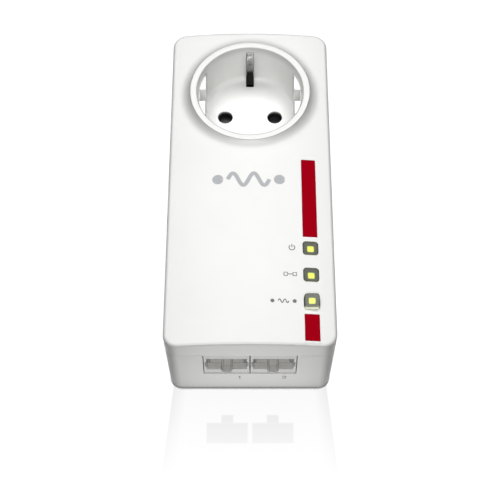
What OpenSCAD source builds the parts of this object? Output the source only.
// Powerline network adapter with a pass-through mains socket.
// Units are millimetres. +Z is up along the long side, the front faces -Y, +X is to the right.
// The origin is the point where the plug and socket axis meets the back face that rests on the wall.

/* [View] */
// one part, or all of them
// segments on round surfaces
$fn = 48;

/* [Housing] */
half_width = 29.45;
top_z = 28.45;
bottom_z = -103.75;
crest_y = -39.5;
dome_r = 190;
widest_y = -36.5;
draft = 1.2;
corner_r = 5;
edge_r = 1;
edge_ease = 0.05;
back_edge_r = 2;
wall = 2;
seam_y = -29.7;
lip = 1;

/* [Socket] */
ring_r = 22.4;
flare_width = 5.2;
recess_r = 19.95;
recess_taper = 0.9;
rim_y = -41;
recess_depth = 17.5;
floor_thickness = 3.5;
floor_r = 17;
pin_pitch = 19;
pin_hole_r = 2.81;
flat_x = 16.75;
flat_front_y = -37.7;
key_x = 19;
key_half = 2.65;
shutter_turn = 35;

/* [Plug] */
plug_r = 18.4;
plug_length = 17;
pin_r = 2.4;
pin_core_r = 2;
pin_length = 19;

/* [Front details] */
light_x = 21.12;
light_z = [-66.37, -76.87, -87.3];
window = 5.4;
window_gap = 0.1;
stripe_x = [18.55, 23.6];
stripe_upper_z = [-61.8, -29.6];
stripe_lower_z = [-101.9, -92];
stripe_depth = 0.8;
button_travel = 0.5;

/* [Network sockets] */
jack_width = 16;
jack_back_y = -14.1;
jack_length = 21;
mouth_y = [-26.5, -17.4];
panel_half = 16.25;

/* [Boards] */
board = 1.6;
logic_back_y = -29.75;
power_back_y = -4.6;

/* [Hidden] */
floor_y = rim_y + recess_depth;
chamber_y = floor_y + floor_thickness;
shutter_y = chamber_y + 0.1;
carrier_y = shutter_y + 2.1;
skirt_y = -5;
logic_front_y = logic_back_y - board;
power_front_y = power_back_y - board;
plunger_y = logic_front_y - 3.4;
plunger_end_y = logic_front_y - 1.9;
mid_z = (top_z + bottom_z) / 2;
corner_x = half_width - corner_r;
corner_z = (top_z - bottom_z) / 2 - corner_r;
slope = tan(draft);
boss_xz = [[-22, 20.6], [22, 20.6], [-21.4, -97.1], [21.4, -97.1]];
logic_post_xz = [[-22.5, -33], [23, -27.2], [-22.5, -78], [13, -78]];
power_post_xz = [[-19, -31], [19, -31], [-19, -76], [19, -76]];
jack_x = [-8.1, 8.1];
white = [0.957, 0.957, 0.949];
ring_white = [0.969, 0.969, 0.961];
shell_grey = [0.8, 0.8, 0.796];
metal = [0.78, 0.78, 0.77];
brass = [0.79, 0.66, 0.35];
copper = [0.72, 0.45, 0.2];
board_green = [0.06, 0.32, 0.16];
dark = [0.09, 0.09, 0.1];

// ---------- helpers ----------

// a solid cylinder along Y between two depths
module rod_y(r, y0, y1, x = 0, z = 0)
    translate([x, y1, z])
        rotate([90, 0, 0])
            cylinder(r = r, h = y1 - y0);

// a cone along Y: radius r0 at y0, radius r1 at y1
module cone_y(r0, r1, y0, y1, x = 0, z = 0)
    translate([x, y1, z])
        rotate([90, 0, 0])
            cylinder(r1 = r1, r2 = r0, h = y1 - y0);

// a sketch in the XZ plane made solid from y0 to y1
module plate_y(y0, y1)
    translate([0, y1, 0])
        rotate([90, 0, 0])
            linear_extrude(y1 - y0)
                children();

// a sketch of (radius, y) turned about the Y axis
module turned_y()
    rotate([-90, 0, 0])
        rotate_extrude()
            children();

// a sketch in the XY plane made solid from z0 to z1
module column_z(z0, z1)
    translate([0, 0, z0])
        linear_extrude(z1 - z0)
            children();

// a sketch of (y, z) made solid from x0 to x1
module slab_x(x0, x1)
    translate([x0, 0, 0])
        rotate([90, 0, 90])
            linear_extrude(x1 - x0)
                children();

// a box given by its two corners
module box(low, high)
    translate(low)
        cube(high - low);

// a rounded rectangle centred on (x, z)
module pad(w, h, r, x = 0, z = 0)
    translate([x, z]) {
        square([w - 2 * r, h], center = true);
        square([w, h - 2 * r], center = true);
        for (sx = [-1, 1], sz = [-1, 1])
            translate([sx * (w / 2 - r), sz * (h / 2 - r)])
                circle(r, $fn = 24);
    }

// ---------- housing form ----------

// points along an arc, from one angle to another
function arc(centre, r, a0, a1, steps) = [
    for (i = [0 : steps])
        let (a = a0 + (a1 - a0) * i / steps)
            centre + r * [cos(a), sin(a)]
];

// an outline's half, followed by its mirror image in reverse order
function with_mirror(half, flip) = concat(half, [
    for (i = [len(half) - 1 : -1 : 0])
        [half[i][0] * flip[0], half[i][1] * flip[1]]
]);

// the housing's cross-section with a domed front and rounded edges
module cross_section() {
    yc = crest_y + dome_r;
    s = sqrt(1 + slope * slope);
    k = half_width + slope * widest_y + edge_ease;
    kf = k - edge_r * s;
    a = s * s;
    b = kf * slope + yc;
    fy = (b - sqrt(b * b - a * (kf * kf + yc * yc - (dome_r - edge_r) * (dome_r - edge_r)))) / a;
    fx = kf - slope * fy;
    turn = atan2(fy - yc, fx);
    by = -back_edge_r;
    bx = k - back_edge_r * s - slope * by;
    polygon(with_mirror(concat(
        arc([0, yc], dome_r, -90 + (turn + 90) / 31, turn, 15),
        arc([fx, fy], edge_r, turn + 15, draft, 6),
        arc([bx, by], back_edge_r, draft, 90, 8)
    ), [-1, 1]));
}

// the outline from the side, with rounded ends front and back
module end_section() {
    s = sqrt(1 + slope * slope);
    k = corner_z + corner_r + edge_ease + slope * widest_y;
    fy = crest_y + edge_r;
    fz = k - slope * fy - edge_r * s;
    by = -back_edge_r;
    bz = k - slope * by - back_edge_r * s;
    translate([0, mid_z])
        polygon(with_mirror(concat(
            arc([fy, fz], edge_r, 180, 90 - draft, 6),
            arc([by, bz], back_edge_r, 90 - draft, 0, 8)
        ), [1, -1]));
}

// a rounded rectangle around the housing's middle with a given corner radius
function rounded_outline(r) = [
    for (c = [[1, 1, 0], [-1, 1, 90], [-1, -1, 180], [1, -1, 270]])
        each arc([c[0] * corner_x, mid_z + c[1] * corner_z], r, c[2], c[2] + 90, 8)
];

// a drafted block with rounded upright corners, a given distance inside the housing's sides
module corner_block(inset) {
    deep = crest_y - 5;
    grow = 1;
    front = rounded_outline(corner_r - inset + slope * (widest_y - deep));
    back = rounded_outline(corner_r - inset + slope * (widest_y - grow));
    n = len(front);
    polyhedron(
        concat([for (p = front) [p[0], deep, p[1]]], [for (p = back) [p[0], grow, p[1]]]),
        concat(
            [[for (i = [n - 1 : -1 : 0]) i]],
            [[for (i = [0 : n - 1]) n + i]],
            [for (i = [0 : n - 1]) [i, (i + 1) % n, n + (i + 1) % n, n + i]]
        )
    );
}

// the large upright cylinder whose surface is the domed front, moved inward by inset
module dome(inset)
    translate([0, crest_y + dome_r, bottom_z - 10])
        cylinder(r = dome_r - inset, h = top_z - bottom_z + 20, $fn = 360);

// the housing's outer form
module outer_form()
    intersection() {
        column_z(bottom_z - 2, top_z + 2)
            cross_section();
        slab_x(-half_width - 2, half_width + 2)
            end_section();
        corner_block(0);
    }

// the hollow inside the housing, a wall's thickness in from every face
module inner_form()
    intersection() {
        corner_block(wall);
        dome(wall);
        front_of(-wall);
    }

// everything in front of, or behind, a depth
module front_of(y) box([-40, -60, -130], [40, y, 60]);
module behind(y) box([-40, y, -130], [40, 20, 60]);

// ---------- front cover ----------

module front_cover() color(white)
    difference() {
        union() {
            difference() {
                intersection() {
                    outer_form();
                    front_of(seam_y);
                }
                inner_form();
                cover_lip_recess();
            }
            intersection() {
                rod_y(ring_r + 2.9, -37.7, -34);
                corner_block(0.5);
            }
            ring_flare();
            cover_posts();
            light_guide_frame();
        }
        socket_opening();
        window_openings();
        stripe_pocket(stripe_upper_z);
        stripe_pocket(stripe_lower_z);
        for (p = boss_xz)
            rod_y(1.25, -36, seam_y + 1, p[0], p[1]);
        for (p = logic_post_xz)
            rod_y(0.95, -36.6, logic_front_y + 1, p[0], p[1]);
    }

// the step on the inside edge that takes the rear housing's lip
module cover_lip_recess()
    intersection() {
        corner_block(wall - lip - 0.05);
        box([-40, seam_y - 1.6, -130], [40, seam_y + 1, 60]);
    }

module cover_posts() {
    for (p = boss_xz)
        rod_y(3, -37.2, seam_y - 0.1, p[0], p[1]);
    for (p = logic_post_xz)
        rod_y(2.4, -37.2, logic_front_y, p[0], p[1]);
}

// the cover's skirt that rises from the front face to the socket ring
module ring_flare()
    turned_y()
        polygon([
            [ring_r - 1, -37.3], [ring_r - 1, rim_y + 0.12], [ring_r + 0.2, rim_y + 0.12],
            [ring_r + 0.9, rim_y + 0.72], [ring_r + 1.8, rim_y + 1.4], [ring_r + 3, rim_y + 2.22],
            [ring_r + 4.2, rim_y + 2.97], [ring_r + flare_width, rim_y + 3.56], [ring_r + flare_width, -37.3]
        ]);

module socket_opening()
    rod_y(ring_r + 0.08, -45, -30);

module window_openings()
    for (z = light_z)
        plate_y(-45, -34)
            pad(window, window, 1.2, light_x, z);

// the opaque walls that keep each light in its own window
module light_guide_frame()
    for (i = [0, 1])
        plate_y(-37.2, -34.5)
            difference() {
                pad(window + 3.2, window + 3.2, 1.6, light_x, light_z[i]);
                pad(window + 1.3, window + 1.3, 0.8, light_x, light_z[i]);
            }

module stripe_pocket(span)
    difference() {
        box([stripe_x[0], -45, span[0]], [stripe_x[1], -30, span[1]]);
        dome(stripe_depth);
    }

// ---------- front inlays ----------

// a thin inlay that follows the domed front face
module stripe(span) color([0.63, 0.01, 0.09])
    intersection() {
        difference() {
            dome(0);
            dome(stripe_depth);
        }
        box([stripe_x[0] + 0.03, -45, span[0] + 0.03], [stripe_x[1] - 0.03, -35, span[1] - 0.03]);
    }

module stripe_upper() stripe(stripe_upper_z);
module stripe_lower() stripe(stripe_lower_z);

// a clear guide from a board light to the front face
module light_guide(z) color([0.5, 0.5, 0.47, 0.6]) {
    intersection() {
        dome(0);
        plate_y(-45, -37.2)
            pad(window - 2 * window_gap, window - 2 * window_gap, 1.1, light_x, z);
    }
    plate_y(-37.2, -35.3)
        pad(window - 2 * window_gap, window - 2 * window_gap, 1.1, light_x, z);
    plate_y(-35.6, -35)
        pad(window + 1.1, window + 1.1, 0.7, light_x, z);
    plate_y(-35, logic_front_y - 1)
        pad(3.4, 3.4, 0.5, light_x, z);
}

module light_guide_upper() light_guide(light_z[0]);
module light_guide_middle() light_guide(light_z[1]);

module button_cap() color([0.75, 0.76, 0.72, 0.7]) {
    w = window - 2 * window_gap;
    plate_y(-39.55, -36)
        pad(w, w, 1.1, light_x, light_z[2]);
    plate_y(-39.75, -39.55)
        pad(w - 0.5, w - 0.5, 0.9, light_x, light_z[2]);
    plate_y(-35.7, -35)
        pad(w + 1.4, w + 1.4, 0.8, light_x, light_z[2]);
    plate_y(-36, -35.7)
        pad(w, w, 1.1, light_x, light_z[2]);
    rod_y(1.5, -35, plunger_y - 0.05, light_x, light_z[2]);
}

// ---------- network socket openings in the housing ----------

module jack_panel_opening()
    box([-panel_half, seam_y - 2, bottom_z - 2], [panel_half, jack_back_y + 0.1, bottom_z + 8]);

// ---------- rear housing ----------

module rear_housing() color(shell_grey)
    difference() {
        union() {
            difference() {
                intersection() {
                    outer_form();
                    behind(seam_y);
                }
                inner_form();
            }
            rear_lip();
            intersection() {
                union() {
                    for (p = boss_xz)
                        rod_y(3.4, seam_y, -1, p[0], p[1]);
                    for (p = power_post_xz)
                        rod_y(2.6, power_back_y, -1, p[0], p[1]);
                    rod_y(plug_r + 3.4, -5, -1);
                    insulation_rails();
                }
                corner_block(0.5);
            }
        }
        rod_y(plug_r + 0.05, -10, 5);
        rod_y(plug_r + 2.1, -10, -2.6);
        for (p = boss_xz) {
            rod_y(1.6, -40, 5, p[0], p[1]);
            rod_y(3, -21, 5, p[0], p[1]);
        }
        for (p = power_post_xz)
            rod_y(0.95, -10, -1, p[0], p[1]);
        jack_panel_opening();
        vent_slots();
        label_recess();
    }

// the lip that centres the front cover
module rear_lip()
    intersection() {
        difference() {
            corner_block(wall - lip);
            corner_block(wall);
        }
        box([-40, seam_y - 1.5, -130], [40, seam_y + 0.5, 60]);
    }

// pairs of ribs that hold the insulating sheet's side edges
module insulation_rails()
    for (s = [-1, 1], z = [-40, -68])
        box([min(s * 23.2, s * 28.2), -26.6, z - 3], [max(s * 23.2, s * 28.2), -25.4, z + 3]);

module vent_slots() {
    for (i = [0 : 7])
        box([-40, -22, -38 - 5 * i], [40, -9, -36.2 - 5 * i]);
    for (i = [-2 : 2])
        box([5 * i - 0.9, -21, top_z - 5], [5 * i + 0.9, -10, top_z + 5]);
}

module label_recess()
    plate_y(-0.35, 1)
        pad(38.4, 44.4, 1.5, 0, -62);

module rating_label() color([0.88, 0.88, 0.87])
    plate_y(-0.33, -0.05)
        pad(38, 44, 1.3, 0, -62);

// ---------- plug ----------

module plug_body() color(white)
    difference() {
        union() {
            difference() {
                turned_y()
                    polygon([
                        [0, -4.6], [plug_r + 2, -4.6], [plug_r + 2, -2.62], [plug_r, -2.62],
                        [plug_r, plug_length - 0.8], [plug_r - 0.8, plug_length], [0, plug_length]
                    ]);
                for (s = [-1, 1])
                    box([min(s * 16.2, s * 25), 0.05, -7], [max(s * 16.2, s * 25), 20, 7]);
            }
            for (s = [-1, 1])
                box([min(s * 15, s * 17.9), 0, -2.2], [max(s * 15, s * 17.9), plug_length, 2.2]);
        }
        for (s = [-1, 1]) {
            rod_y(pin_core_r, -10, 25, s * pin_pitch / 2);
            earth_groove(s);
        }
        rod_y(2.9, -10, 25, 0, 10);
        rod_y(3.6, -10, 1, 0, 10);
    }

// the groove at the top or bottom that holds an earth strip
module earth_groove(s)
    box([-3.3, -10, min(s * 16.4, s * 19)], [3.3, 25, max(s * 16.4, s * 19)]);

module plug_pin(s) color(metal)
    translate([s * pin_pitch / 2, 0, 0])
        turned_y()
            polygon([
                [0, -6.4], [1.4, -6.4], [1.4, -4.6], [pin_core_r, -4.6], [pin_core_r, plug_length],
                [pin_r, plug_length], [pin_r, plug_length + pin_length - 1.4],
                [pin_r - 0.35, plug_length + pin_length - 0.55],
                [pin_r - 1, plug_length + pin_length - 0.1],
                [pin_r - 1.5, plug_length + pin_length], [0, plug_length + pin_length]
            ]);

module plug_pin_left() plug_pin(-1);
module plug_pin_right() plug_pin(1);

// a sprung strip that touches the earth contact of the wall socket
module plug_earth_strip(s) color(metal)
    scale([1, 1, s])
        slab_x(-2.6, 2.6)
            polygon([
                [-7.2, 16.5], [15.9, 16.5], [16.3, 16.9], [15.2, 17.5],
                [9, 18.3], [5, 18.4], [1, 17.6], [-1, 17.2], [-7.2, 17.2]
            ]);

module plug_earth_strip_top() plug_earth_strip(1);
module plug_earth_strip_bottom() plug_earth_strip(-1);

// the sleeve for an earth pin that stands in the wall socket
module plug_earth_sleeve() color(brass)
    translate([0, 0, 10])
        difference() {
            union() {
                rod_y(2.88, -4.6, plug_length - 0.5);
                rod_y(3.55, -4.6, -0.05);
            }
            rod_y(2.45, -3.6, 25);
        }

// ---------- socket ----------

// the ring, the tapered recess wall and its two side flats
module socket_insert() color(ring_white)
    difference() {
        union() {
            turned_y()
                polygon([
                    [floor_r, floor_y], [floor_r + 0.75, floor_y - 0.12], [floor_r + 1.35, floor_y - 0.5],
                    [floor_r + 1.78, floor_y - 1.1], [recess_r - recess_taper, floor_y - 1.9],
                    [recess_r - 0.75, flat_front_y], [recess_r - 0.3, rim_y + 1.2], [recess_r, rim_y + 0.42],
                    [recess_r + 0.14, rim_y + 0.12], [recess_r + 0.45, rim_y], [ring_r - 0.3, rim_y],
                    [ring_r - 0.08, rim_y + 0.08], [ring_r, rim_y + 0.3], [ring_r, -34], [ring_r + 1.85, -34],
                    [ring_r + 1.85, -32], [21.7, -32], [21.7, skirt_y], [20.1, skirt_y], [20.1, chamber_y],
                    [floor_r, chamber_y]
                ]);
            intersection() {
                rod_y(recess_r, flat_front_y, floor_y);
                for (s = [-1, 1])
                    box([min(s * flat_x, s * 30), -60, -12], [max(s * flat_x, s * 30), 0, 12]);
            }
        }
        for (s = [-1, 1]) {
            box([min(s * (flat_x - 1), s * key_x), -60, -key_half], [max(s * (flat_x - 1), s * key_x), floor_y, key_half]);
            spring_slot(s);
            box([min(s * 9, s * 18.5), -14, -22], [max(s * 9, s * 18.5), 0, -8]);
        }
    }

// the narrow slot an earth contact stands in
module spring_slot(s)
    scale([1, 1, s])
        box([-1.5, rim_y + 2.3, 14.5], [1.5, 0, recess_r + 0.75]);

// the recess floor with its two pin holes and the spindle the shutter turns on
module socket_floor() color(ring_white)
    difference() {
        union() {
            rod_y(floor_r, floor_y, chamber_y);
            rod_y(1.9, floor_y + 1, carrier_y + 1.9);
        }
        for (s = [-1, 1]) {
            rod_y(pin_hole_r, -60, 0, s * pin_pitch / 2);
            cone_y(pin_hole_r + 0.15, pin_hole_r, floor_y - 0.01, floor_y + 0.15, s * pin_pitch / 2);
            spring_slot(s);
        }
    }

// a bent earth contact that stands just inside the recess wall
module socket_earth_spring(s) color(metal)
    scale([1, 1, s])
        slab_x(-1.25, 1.25)
            polygon([
                [-37.9, 20.3], [-38.4, 20.1], [-38.55, 19.6], [-38.3, 19.1], [-36.5, 18.1], [-33, 16.8],
                [-29, 15.65], [-26, 15], [-24.6, 14.85], [-23.4, 15.1], [-21.4, 16.3], [-20.4, 16.7], [-8.6, 16.7],
                [-8.6, 17.5], [-20.6, 17.5], [-21.9, 17], [-23.8, 15.85], [-24.8, 15.65], [-26, 15.8],
                [-29, 16.45], [-33, 17.6], [-36.5, 18.95], [-37.6, 19.55]
            ]);

module socket_earth_spring_top() socket_earth_spring(1);
module socket_earth_spring_bottom() socket_earth_spring(-1);

// ---------- shutter ----------

// the disc that hides both pin holes until two pins turn it together
module shutter() color([0.2, 0.2, 0.22])
    difference() {
        union() {
            rod_y(13.6, shutter_y, shutter_y + 1.9);
            rotate([0, -90, 0])
                box([13, shutter_y, -1.2], [15.2, shutter_y + 1.9, 1.2]);
        }
        rod_y(1.95, shutter_y - 1, carrier_y);
        rotate([0, shutter_turn, 0])
            for (s = [-1, 1])
                rod_y(pin_hole_r + 0.3, -60, 0, s * pin_pitch / 2);
        for (s = [-1, 1])
            rotate([0, s > 0 ? 0 : 180, 0])
                shutter_ramp();
    }

// the slope a pin pushes against
module shutter_ramp()
    translate([pin_pitch / 2, shutter_y, 0])
        rotate([-18, 0, 0])
            box([-2.6, -3, -6.5], [2.6, 0, 2]);

// a leaf spring that turns the shutter back
module shutter_spring() color(metal)
    plate_y(shutter_y + 0.4, shutter_y + 1.6)
        polygon([
            [-1.25, 13.7], [-1.25, 15.1], [-7.5, 16.6], [-13.6, 14.6],
            [-13.4, 14.3], [-7.5, 16.2], [-1.6, 14.8], [-1.6, 13.7]
        ]);

module contact_carrier() color([0.25, 0.25, 0.27])
    difference() {
        union() {
            rod_y(20.05, carrier_y, carrier_y + 1.8);
            for (s = [-1, 1])
                box([-1.2, carrier_y + 1.5, min(s * 4, s * 15)], [1.2, -9, max(s * 4, s * 15)]);
        }
        rod_y(1.95, carrier_y - 1, carrier_y + 3);
        for (s = [-1, 1]) {
            rod_y(3.3, -60, 0, s * pin_pitch / 2);
            scale([1, 1, s])
                box([-1.8, -60, 16.4], [1.8, 0, 17.8]);
        }
    }

// a forked contact that grips one pin and is riveted to the plug pin behind it
module pin_contact(s) color(brass)
    translate([s * pin_pitch / 2, 0, 0])
        difference() {
            union() {
                column_z(-3, 3)
                    polygon([
                        [-3.4, -5.4], [-3.4, -11.5], [-2.3, -13.6], [-3, -15.4], [-3.4, -15.1], [-2.9, -13.6],
                        [-4.1, -11.2], [-4.1, -4.7], [4.1, -4.7], [4.1, -11.2], [2.9, -13.6], [3.4, -15.1],
                        [3, -15.4], [2.3, -13.6], [3.4, -11.5], [3.4, -5.4]
                    ]);
                box([-2.5, -5.4, -8], [2.5, -4.7, 2]);
            }
            rod_y(1.42, -8, 0);
        }

module contact_left() pin_contact(-1);
module contact_right() pin_contact(1);

// the bar that joins the earth springs, the strips and the sleeve
module earth_bridge() color(metal) {
    box([-2.4, -8.6, -16.45], [2.4, -7.8, 16.45]);
    for (s = [-1, 1])
        scale([1, 1, s])
            box([-2.4, -8.6, 15.65], [2.4, -6.4, 16.45]);
    box([-2.4, -7.8, 8.6], [2.4, -4.6, 11.4]);
}

// ---------- network sockets ----------

// the height of a network socket's sloped face at a depth
function jack_face_z(y) = bottom_z + 0.3 + slope * (y - widest_y);

// the plastic body of one network socket, with its stepped latch opening towards the back
module jack_body(x) color([0.76, 0.76, 0.755])
    translate([x, 0, 0])
        difference() {
            slab_x(0.05 - jack_width / 2, jack_width / 2 - 0.05)
                polygon([
                    [seam_y + 0.05, jack_face_z(seam_y)], [jack_back_y, jack_face_z(jack_back_y)],
                    [jack_back_y, bottom_z + jack_length], [seam_y + 0.05, bottom_z + jack_length]
                ]);
            box([-7, mouth_y[0], bottom_z - 2], [7, mouth_y[1], bottom_z + 3.2]);
            box([-5.95, mouth_y[0] + 0.9, bottom_z - 2], [5.95, mouth_y[1], bottom_z + 16]);
            box([-2.05, mouth_y[1] - 1, bottom_z - 2], [2.05, mouth_y[1] + 1.3, bottom_z + 9]);
            box([-1.5, mouth_y[1] - 1, bottom_z - 2], [1.5, mouth_y[1] + 2.7, bottom_z + 9]);
            for (s = [-1, 1])
                box([min(s * 6, s * 7.55), -23.7, bottom_z - 2], [max(s * 6, s * 7.55), -19.5, bottom_z + 3.2]);
        }

module jack_left() jack_body(jack_x[0]);
module jack_right() jack_body(jack_x[1]);

// eight sprung wires in one network socket
module jack_wires(x) color([0.85, 0.68, 0.3])
    for (i = [0 : 7])
        translate([x + 1.02 * (i - 3.5), mouth_y[0] + 0.92, bottom_z])
            slab_x(-0.18, 0.18)
                polygon([
                    [0.38, 15.8], [0.38, 5.8], [3.18, 11.7], [3.58, 11.5], [0.68, 5.2],
                    [0.28, 5], [0, 5.2], [0, 15.8]
                ]);

module jack_wires_left() jack_wires(jack_x[0]);
module jack_wires_right() jack_wires(jack_x[1]);

// a thin metal cover wrapped around the hidden part of both network sockets
module jack_shield() color(metal)
    difference() {
        box([-16.7, seam_y + 0.4, bottom_z + 4.6], [16.7, jack_back_y + 0.5, bottom_z + jack_length + 0.5]);
        box([-16.3, seam_y, bottom_z], [16.3, jack_back_y + 0.05, bottom_z + jack_length + 0.05]);
    }

// ---------- boards ----------

module logic_board() color(board_green)
    difference() {
        plate_y(logic_front_y, logic_back_y)
            polygon([
                [-25, -25.5], [-25, -92.9], [-17.2, -92.9], [-17.2, bottom_z + 3.3],
                [17.2, bottom_z + 3.3], [17.2, -92.9], [25, -92.9], [25, -25.5]
            ]);
        for (p = logic_post_xz)
            rod_y(1.2, -40, 0, p[0], p[1]);
    }

module power_board() color(board_green)
    difference() {
        plate_y(power_front_y, power_back_y)
            pad(43, 55, 1.5, 0, -54.5);
        for (p = power_post_xz)
            rod_y(1.2, -20, 0, p[0], p[1]);
    }

// a round-head screw with a cross slot; the head stands on z = 0 and the shank points down
module screw(shank_r, head_r, head_h, shank)
    difference() {
        union() {
            translate([0, 0, -shank])
                cylinder(r = shank_r, h = shank + 0.2);
            cylinder(r1 = head_r, r2 = head_r * 0.72, h = head_h);
        }
        for (a = [0, 90])
            translate([0, 0, head_h])
                rotate([0, 0, a])
                    cube([head_r, 0.35, 0.9], center = true);
    }

module board_screws() color(metal)
    for (p = logic_post_xz)
        translate([p[0], logic_back_y, p[1]])
            rotate([-90, 0, 0])
                screw(0.93, 1.9, 1.1, 5.2);

module power_board_screws() color(metal)
    for (p = power_post_xz)
        translate([p[0], power_front_y, p[1]])
            rotate([90, 0, 0])
                screw(0.93, 1.9, 1.1, 4.2);

module housing_screws() color(metal)
    for (p = boss_xz)
        translate([p[0], -20.95, p[1]])
            rotate([-90, 0, 0])
                screw(1.22, 2.7, 1.9, 13);

module insulating_sheet() color([0.85, 0.83, 0.72])
    plate_y(-25.35, -25.1)
        polygon([[-23, -79], [23, -79], [23, -27], [-23, -27]]);

// ---------- power board parts ----------

module transformer_core() color([0.2, 0.2, 0.2])
    difference() {
        box([-18, -22, -50], [-2, -6.3, -34]);
        for (x = [-15.4, -8])
            box([x, -19.4, -51], [x + 3.4, -8.9, -33]);
    }

module transformer_coil() color([0.85, 0.68, 0.16])
    difference() {
        box([-15.3, -19.3, -53.4], [-4.7, -9, -30.6]);
        box([-12.05, -20, -50.05], [-7.95, -8, -33.95]);
    }

module filter_capacitor() color([0.83, 0.67, 0.13])
    translate([0, -6.3, 0])
        plate_y(-14, 0)
            pad(18, 8, 0.8, 7.5, -76);

module bulk_capacitors() color([0.12, 0.13, 0.16])
    for (z = [-59.6, -70.4])
        translate([-18.6, -11.6, z])
            rotate([0, 90, 0])
                can(5, 17);

// a can capacitor with a crimped groove, standing along +Z
module can(r, h)
    rotate_extrude()
        polygon([
            [0, 0], [r - 0.3, 0], [r, 0.3], [r, 1.8], [r - 0.4, 2.2], [r, 2.6], [r, h - 0.4], [r - 0.4, h], [0, h]
        ]);

module output_capacitors() color([0.1, 0.2, 0.32])
    for (x = [4.5, 13.5])
        translate([x, -6.3, -34.5])
            rotate([90, 0, 0])
                can(4, 12);

module mains_choke() color(copper)
    translate([9, -14, -49])
        rotate([0, 90, 0])
            difference() {
                union() {
                    rotate_extrude()
                        translate([2.9, -3.5])
                            square([4.1, 7]);
                    for (a = [0 : 30 : 330])
                        rotate([0, 0, a])
                            translate([5, 0, 0])
                                cube([5.2, 1.5, 8.2], center = true);
                }
                cylinder(r = 2.3, h = 20, center = true);
            }

module surge_disc() color([0.16, 0.32, 0.55])
    translate([2.2, -12, -64.5])
        rotate([0, 90, 0])
            cylinder(r = 5, h = 4);

module fuse() {
    color([0.85, 0.9, 0.9, 0.5])
        translate([17, -9.6, -70])
            cylinder(r = 2.45, h = 16);
    color(metal)
        for (z = [-71, -56.2])
            translate([17, -9.6, z])
                cylinder(r = 2.65, h = 5);
}

module fuse_clips() color(metal)
    for (z = [-69.9, -55.1])
        box([14, -6.94, z], [20, -6.2, z + 2.6]);

module bridge_rectifier() color(dark)
    box([17.6, -10.2, -50], [21, -6.2, -41]);

// ---------- logic board parts ----------

// a flat chip with legs on all four sides, standing on the front of the logic board
module flat_chip(w, h, legs, x, z) {
    pitch = (w - 2) / (legs - 1);
    box([x - w / 2, logic_front_y - h, z - w / 2], [x + w / 2, logic_front_y - 0.15, z + w / 2]);
    for (i = [0 : legs - 1]) {
        o = -w / 2 + 1 + i * pitch;
        for (m = [-w / 2 - 0.9, w / 2 - 0.2]) {
            box([x + o - 0.2, logic_front_y - 0.45, z + m], [x + o + 0.2, logic_front_y, z + m + 1.1]);
            box([x + m, logic_front_y - 0.45, z + o - 0.2], [x + m + 1.1, logic_front_y, z + o + 0.2]);
        }
    }
}

module modem_chip() color(dark) flat_chip(14, 1.4, 10, -8, -42);
module network_chip() color(dark) flat_chip(10, 1.2, 8, -12, -67);
module memory_chip() color(dark) flat_chip(7, 1, 5, 7.5, -63);

module heat_sink() color([0.62, 0.63, 0.64]) {
    foot = logic_front_y - 1.4;
    box([-14.5, foot - 1.5, -48.5], [-1.5, foot, -35.5]);
    for (i = [0 : 5])
        box([-14.5 + 2.4 * i, -36.4, -48.5], [-13.5 + 2.4 * i, foot - 1.4, -35.5]);
}

module magnetics() color(dark)
    for (x = jack_x)
        box([x - 6.5, logic_front_y - 5.2, -95], [x + 6.5, logic_front_y, -87.5]);

module crystal() color(metal)
    plate_y(logic_front_y - 3.4, logic_front_y)
        pad(11, 4.6, 2.2, 7, -50);

module coupling_transformers() color([0.3, 0.31, 0.33])
    for (x = [6, 14])
        box([x - 3.2, logic_front_y - 4.8, -38.5], [x + 3.2, logic_front_y, -32]);

module board_lights() color([0.95, 1, 0.75])
    for (z = [light_z[0], light_z[1], light_z[2] + 5.1])
        box([light_x - 0.8, logic_front_y - 0.7, z - 0.4], [light_x + 0.8, logic_front_y, z + 0.4]);

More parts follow.
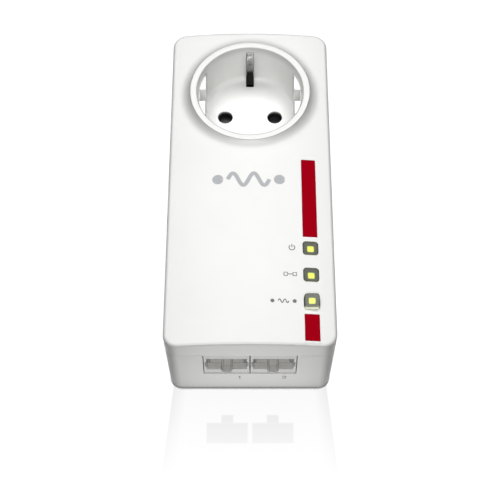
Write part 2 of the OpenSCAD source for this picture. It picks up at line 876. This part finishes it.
module switch_body() color(dark)
    difference() {
        plate_y(logic_front_y - 2.6, logic_front_y)
            pad(6, 6, 0.3, light_x, light_z[2]);
        rod_y(1.75, -40, plunger_end_y + button_travel + 0.2, light_x, light_z[2]);
    }

module switch_plunger() color([0.85, 0.85, 0.83])
    rod_y(1.7, plunger_y, plunger_end_y, light_x, light_z[2]);

// ---------- wiring ----------

// a round wire made of straight runs between listed points
module wire(points, r)
    for (i = [0 : len(points) - 2]) {
        a = points[i];
        b = points[i + 1];
        d = b - a;
        translate(a) {
            rotate([0, acos(d[2] / norm(d)), atan2(d[1], d[0])])
                cylinder(r = r, h = norm(d), $fn = 32);
            sphere(r + 0.04, $fn = 32);
        }
    }

module wire_left() color([0.42, 0.26, 0.13])
    wire([[-9.5, -6.3, -6.5], [-9.5, -11, -9], [-17.5, -12, -21.5], [-18, -10, -28], [-14, -7.2, -29.4]], 0.85);

module wire_right() color([0.16, 0.3, 0.62])
    wire([[9.5, -6.3, -6.5], [9.5, -11, -9], [17.5, -12, -21.5], [18, -10, -28], [14, -7.2, -29.4]], 0.85);

// ---------- assembly ----------

front_cover();
rear_housing();
stripe_upper();
stripe_lower();
light_guide_upper();
light_guide_middle();
button_cap();
rating_label();
plug_body();
plug_pin_left();
plug_pin_right();
plug_earth_strip_top();
plug_earth_strip_bottom();
plug_earth_sleeve();
socket_insert();
socket_floor();
socket_earth_spring_top();
socket_earth_spring_bottom();
shutter();
shutter_spring();
contact_carrier();
contact_left();
contact_right();
earth_bridge();
jack_left();
jack_right();
jack_wires_left();
jack_wires_right();
jack_shield();
logic_board();
power_board();
board_screws();
power_board_screws();
housing_screws();
insulating_sheet();
transformer_core();
transformer_coil();
filter_capacitor();
bulk_capacitors();
output_capacitors();
mains_choke();
surge_disc();
fuse();
fuse_clips();
bridge_rectifier();
modem_chip();
network_chip();
memory_chip();
heat_sink();
magnetics();
crystal();
coupling_transformers();
board_lights();
switch_body();
switch_plunger();
wire_left();
wire_right();
